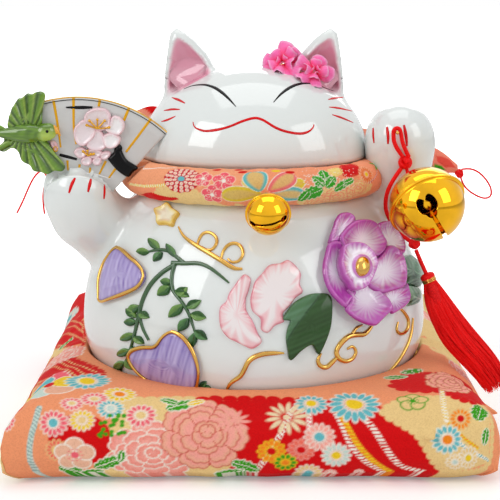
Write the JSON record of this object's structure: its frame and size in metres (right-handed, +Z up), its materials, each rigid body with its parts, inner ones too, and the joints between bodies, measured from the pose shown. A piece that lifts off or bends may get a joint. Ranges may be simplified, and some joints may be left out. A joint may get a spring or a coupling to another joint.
{
  "type": "ceramic cat figurine",
  "caption": "Seated beckoning cat of glazed ceramic with raised relief flowers, a fan and a bird, a padded collar with a bell, a hanging bell with a tassel, and a square padded cushion.",
  "frame": {"origin": "on the floor under the middle of the cushion", "axes": "+Z up, the cat faces -Y, its raised left paw is towards +X and the fan in its right paw towards -X"},
  "size_m": [0.4098, 0.342, 0.307],
  "materials": {
    "cream_glaze": "glossy warm white glaze, the body, head, arms and tail",
    "gold_rim": "fired gold, satin",
    "petal_glaze": "white glaze with pink edges, glossy",
    "camellia_glaze": "magenta and white overglaze enamel, glossy",
    "leaf_glaze": "green enamel, glossy",
    "violet_glaze": "violet enamel with gold rims, glossy",
    "dark_glaze": "black enamel, glossy",
    "olive_glaze": "olive green enamel, glossy",
    "yellow_glaze": "yellow enamel, glossy",
    "crepe_peach": "printed silk crepe, matt",
    "red_cord": "braided silk, soft sheen",
    "pink_silk": "silk, soft sheen",
    "gilt_brass": "bright gilt, polished"
  },
  "bodies": {
    "cushion": {"cushion": "crepe_peach"},
    "cat": {"body_shell": "cream_glaze", "head_shell": "cream_glaze", "right_arm": "cream_glaze", "left_arm": "cream_glaze", "tail": "cream_glaze", "fan_plate": "cream_glaze", "fan_blossom_large": "petal_glaze", "fan_blossom_small": "petal_glaze", "fan_stamens": "gold_rim", "fan_branch": "dark_glaze", "bird": "olive_glaze", "bird_beak": "yellow_glaze", "violet_leaf_upper": "violet_glaze", "violet_leaf_lower": "violet_glaze", "pink_petals": "petal_glaze", "green_leaf": "leaf_glaze", "yellow_blossom": "yellow_glaze", "camellia_outer_petals": "camellia_glaze", "camellia_inner_cup": "camellia_glaze", "camellia_eye": "gold_rim", "camellia_leaves": "leaf_glaze", "vine_stems": "leaf_glaze", "vine_leaves": "leaf_glaze", "gilt_tendril": "gold_rim", "gilt_scroll": "gold_rim", "gilt_scroll_small": "gold_rim", "gilt_hem": "gold_rim", "collar": "crepe_peach", "collar_knot": "crepe_peach", "bow_left": "crepe_peach", "bow_right": "crepe_peach", "tie_cord_right": "red_cord", "tie_cord_left": "red_cord", "tie_cord_left_inner": "red_cord", "hair_flowers": "pink_silk", "collar_bell_stitch": "red_cord", "bell_pin": "gilt_brass"},
    "collar_bell": {"collar_bell_upper": "gilt_brass", "collar_bell_lower": "gilt_brass", "collar_bell_eye": "gilt_brass", "collar_bell_pellet": "gilt_brass"},
    "bell_cord": {"bell_cord_loop": "red_cord", "bell_cord_side": "red_cord", "bell_cord_eye": "red_cord", "cord_knot": "red_cord", "cord_knot_lower": "red_cord"},
    "big_bell": {"big_bell_upper": "gilt_brass", "big_bell_lower": "gilt_brass", "big_bell_eye": "gilt_brass", "big_bell_pellet": "gilt_brass"},
    "tassel": {"tassel_cord": "red_cord", "tassel_cap": "red_cord", "tassel_skirt": "red_cord"}
  },
  "joints": [
    {"name": "cat_lift", "type": "slide", "parent": "cushion", "child": "cat", "axis": [0, 0, 1], "range_m": [0, 0.1]},
    {"name": "collar_bell_swing", "type": "hinge", "parent": "cat", "child": "collar_bell", "pos_m": [0.0096, -0.1099, 0.18823], "axis": [-1, 0, 0], "range_deg": [0, 40]},
    {"name": "bell_cord_swing", "type": "hinge", "parent": "cat", "child": "bell_cord", "pos_m": [0.106, -0.0575, 0.232], "axis": [0, -1, 0], "range_deg": [0, 30]},
    {"name": "big_bell_swing", "type": "hinge", "parent": "bell_cord", "child": "big_bell", "pos_m": [0.1233, -0.0552, 0.1914], "axis": [-1, 0, 0], "range_deg": [0, 35]},
    {"name": "tassel_swing", "type": "hinge", "parent": "bell_cord", "child": "tassel", "pos_m": [0.121, -0.057, 0.148], "axis": [0, -1, 0], "range_deg": [0, 25]}
  ]
}
